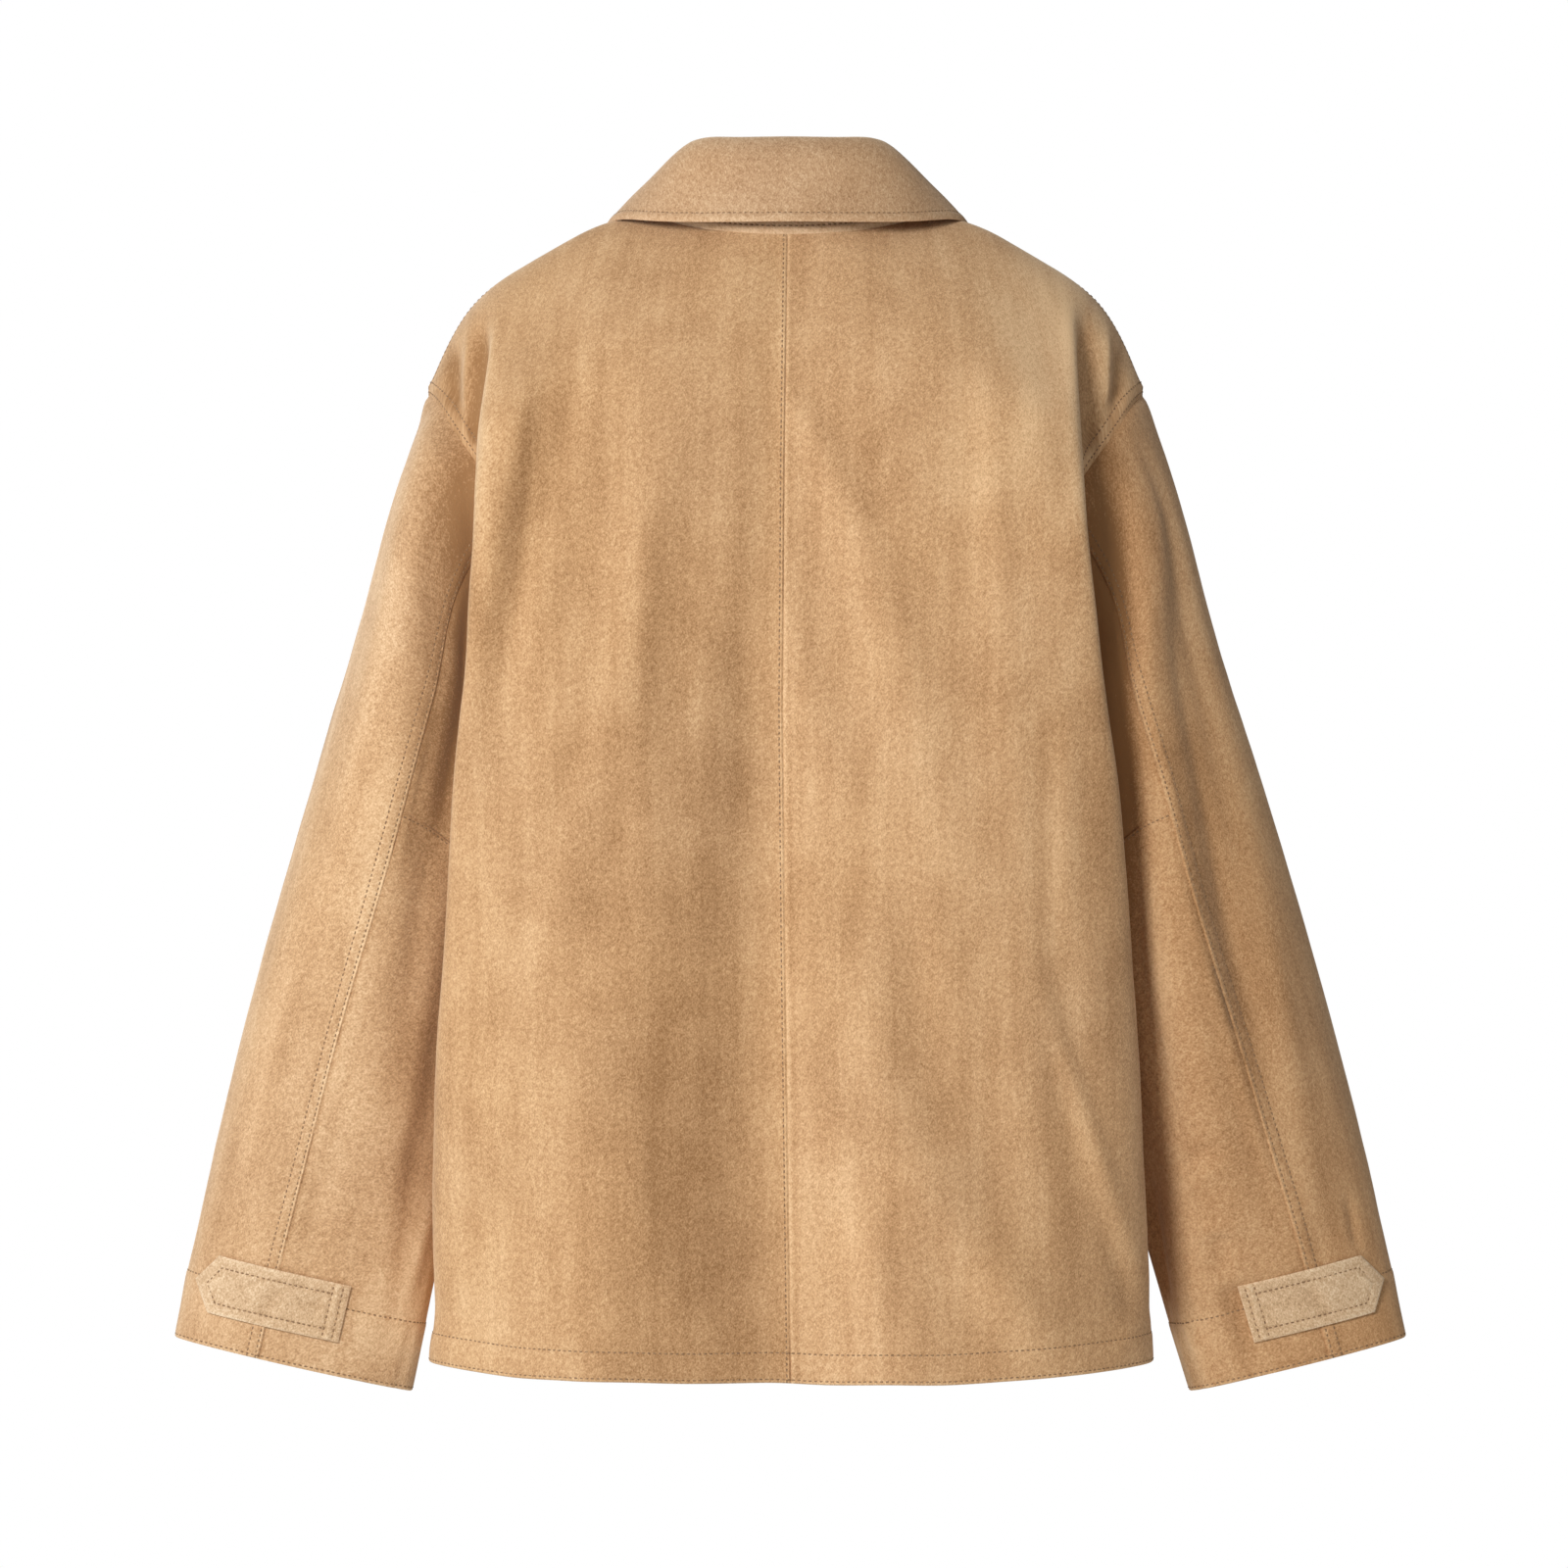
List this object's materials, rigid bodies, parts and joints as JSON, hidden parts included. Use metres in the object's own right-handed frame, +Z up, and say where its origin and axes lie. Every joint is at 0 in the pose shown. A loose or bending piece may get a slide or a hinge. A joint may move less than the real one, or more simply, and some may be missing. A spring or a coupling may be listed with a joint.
{
  "type": "suede jacket",
  "caption": "Boxy waist-length suede jacket with a shirt collar, a centre back seam, wide seamed sleeves with pointed cuff tabs, and a plain buttoned front.",
  "frame": {"origin": "midway between the two high shoulder points, where the wearer's neck and shoulders hold the jacket up", "axes": "+X to the wearer's left, -Y the way the wearer faces, +Z up along the body to the head"},
  "size_m": [0.7601, 0.2783, 0.7685],
  "materials": {
    "suede": "tan suede with a short soft nap",
    "button": "dark brown horn look, satin"
  },
  "bodies": {
    "root": {"back_left": "suede", "front_left": "suede", "sleeve_top_left": "suede", "sleeve_under_upper_left": "suede", "sleeve_under_lower_left": "suede", "cuff_tab_left": "suede", "back_right": "suede", "front_right": "suede", "sleeve_top_right": "suede", "sleeve_under_upper_right": "suede", "sleeve_under_lower_right": "suede", "cuff_tab_right": "suede", "collar_stand": "suede", "collar_fall": "suede", "button_1": "button", "button_2": "button", "button_3": "button", "button_4": "button", "button_5": "button", "button_6": "button"}
  },
  "joints": []
}
